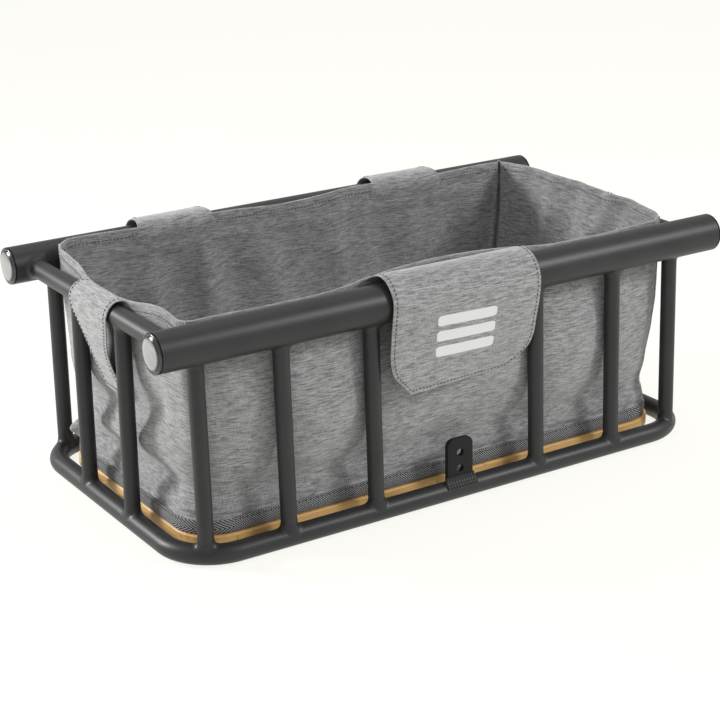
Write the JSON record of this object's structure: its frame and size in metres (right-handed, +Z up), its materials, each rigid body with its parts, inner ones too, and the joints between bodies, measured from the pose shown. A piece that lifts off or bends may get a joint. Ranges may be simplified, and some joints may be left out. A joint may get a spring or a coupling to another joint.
{
  "type": "bicycle cargo basket",
  "caption": "Open cargo basket for a bicycle rack: welded tube frame round a bamboo deck, with a lift-out fabric liner whose flaps fold over the rails and close with hook-and-loop.",
  "frame": {"origin": "under the middle of the basket, on the plane the bottom ring stands on", "axes": "+X along the rails (the long side), -Y towards the front with the light bracket and the wide flap, +Z up"},
  "size_m": [0.5452, 0.3044, 0.1991],
  "materials": {
    "frame_coat": "satin dark grey powder coat",
    "chrome_cap": "polished chrome plate",
    "bamboo": "clear-lacquered bamboo ply",
    "screw_steel": "plain stainless steel",
    "liner_fabric": "heathered grey woven polyester",
    "webbing": "dark twill webbing",
    "loop_tape": "soft loop tape",
    "hook_tape": "hook tape"
  },
  "bodies": {
    "frame": {"top_rail_front": "frame_coat", "top_rail_rear": "frame_coat", "cross_tube_left": "frame_coat", "cross_tube_right": "frame_coat", "bottom_ring": "frame_coat", "light_bracket": "frame_coat", "upright_front_1": "frame_coat", "upright_front_2": "frame_coat", "upright_front_3": "frame_coat", "upright_front_4": "frame_coat", "upright_front_5": "frame_coat", "upright_front_6": "frame_coat", "upright_rear_1": "frame_coat", "upright_rear_2": "frame_coat", "upright_rear_3": "frame_coat", "upright_rear_4": "frame_coat", "upright_rear_5": "frame_coat", "upright_rear_6": "frame_coat", "upright_left_front": "frame_coat", "upright_left_rear": "frame_coat", "upright_right_front": "frame_coat", "upright_right_rear": "frame_coat", "end_cap_front_left": "chrome_cap", "end_cap_front_right": "chrome_cap", "end_cap_rear_left": "chrome_cap", "end_cap_rear_right": "chrome_cap", "deck_bar_1": "frame_coat", "deck_bar_2": "frame_coat", "deck_bar_3": "frame_coat", "deck_bar_4": "frame_coat", "bamboo_deck": "bamboo", "deck_screw_1": "screw_steel", "deck_screw_2": "screw_steel", "deck_screw_3": "screw_steel", "deck_screw_4": "screw_steel", "deck_screw_5": "screw_steel", "deck_screw_6": "screw_steel", "deck_screw_7": "screw_steel", "deck_screw_8": "screw_steel"},
    "liner": {"liner_tub": "liner_fabric", "liner_foot_band": "webbing", "loop_patch_front": "loop_tape", "loop_patch_rear_left": "loop_tape", "loop_patch_rear_right": "loop_tape", "loop_patch_end_left": "loop_tape", "loop_patch_end_right": "loop_tape"},
    "flap_front": {"flap_front": "liner_fabric", "hook_patch_front": "hook_tape"},
    "flap_rear_left": {"flap_rear_left": "liner_fabric", "hook_patch_rear_left": "hook_tape"},
    "flap_rear_right": {"flap_rear_right": "liner_fabric", "hook_patch_rear_right": "hook_tape"},
    "end_strap_left": {"end_strap_left": "liner_fabric", "hook_patch_end_left": "hook_tape"},
    "end_strap_right": {"end_strap_right": "liner_fabric", "hook_patch_end_right": "hook_tape"}
  },
  "joints": [
    {"name": "liner_lift", "type": "slide", "parent": "frame", "child": "liner", "axis": [0, 0, 1], "range_m": [0, 0.2], "deforming": ["flap_front", "hook_patch_front", "flap_rear_left", "hook_patch_rear_left", "flap_rear_right", "hook_patch_rear_right", "end_strap_left", "hook_patch_end_left", "end_strap_right", "hook_patch_end_right"]},
    {"name": "front_flap_hinge", "type": "hinge", "parent": "liner", "child": "flap_front", "pos_m": [0, -0.1152, 0.1972], "axis": [-1, 0, 0], "range_deg": [0, 160]},
    {"name": "rear_left_flap_hinge", "type": "hinge", "parent": "liner", "child": "flap_rear_left", "pos_m": [-0.1212, 0.1152, 0.1972], "axis": [1, 0, 0], "range_deg": [0, 160]},
    {"name": "rear_right_flap_hinge", "type": "hinge", "parent": "liner", "child": "flap_rear_right", "pos_m": [0.1212, 0.1152, 0.1972], "axis": [1, 0, 0], "range_deg": [0, 160]},
    {"name": "left_strap_hinge", "type": "hinge", "parent": "liner", "child": "end_strap_left", "pos_m": [-0.2346, 0, 0.1905], "axis": [0, 1, 0], "range_deg": [0, 160]},
    {"name": "right_strap_hinge", "type": "hinge", "parent": "liner", "child": "end_strap_right", "pos_m": [0.2346, 0, 0.1905], "axis": [0, -1, 0], "range_deg": [0, 160]}
  ]
}
